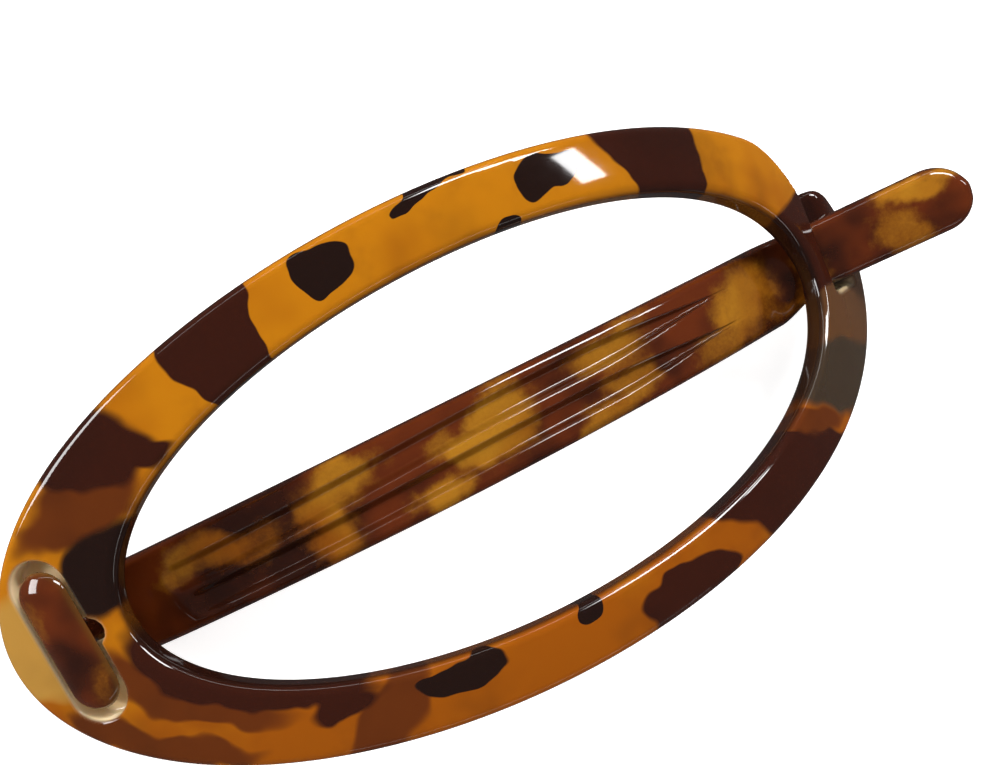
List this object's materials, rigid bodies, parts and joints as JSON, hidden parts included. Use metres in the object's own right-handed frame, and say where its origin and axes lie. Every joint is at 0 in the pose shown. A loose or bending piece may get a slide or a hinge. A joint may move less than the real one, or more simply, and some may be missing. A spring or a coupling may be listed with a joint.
{
  "type": "barrette",
  "caption": "Arched open oval hair barrette with a long tongue behind it, hinged on a pill-shaped head at one end and held in a one-sided slit at the other.",
  "frame": {"origin": "middle of the arched frame, halfway through its thickness at the crown, where the lock of hair crosses under it", "axes": "+X along the length, from the hinge to the tip; +Y across, towards the side the slit opens on; +Z out of the arched front"},
  "size_m": [0.1038, 0.0434, 0.0185],
  "materials": {
    "frame_acetate": "polished tortoiseshell acetate, honey amber with sharp dark red-brown patches",
    "tongue_acetate": "polished tortoiseshell acetate, amber with soft dark brown clouds",
    "stem_acetate": "polished dark brown acetate"
  },
  "bodies": {
    "frame": {"oval_frame": "frame_acetate"},
    "hinge": {"hinge_head": "tongue_acetate", "hinge_stem": "stem_acetate"},
    "tongue": {"tongue": "tongue_acetate"}
  },
  "joints": [
    {"name": "tongue_open", "type": "hinge", "parent": "frame", "child": "hinge", "pos_m": [-0.04231, 0.0007, -0.00884], "axis": [0, 1, 0], "range_deg": [0, 40]},
    {"name": "tongue_sideways", "type": "hinge", "parent": "hinge", "child": "tongue", "pos_m": [-0.04231, 0.0007, -0.00884], "axis": [-0.4535, 0, 0.8913], "range_deg": [0, 10]}
  ]
}
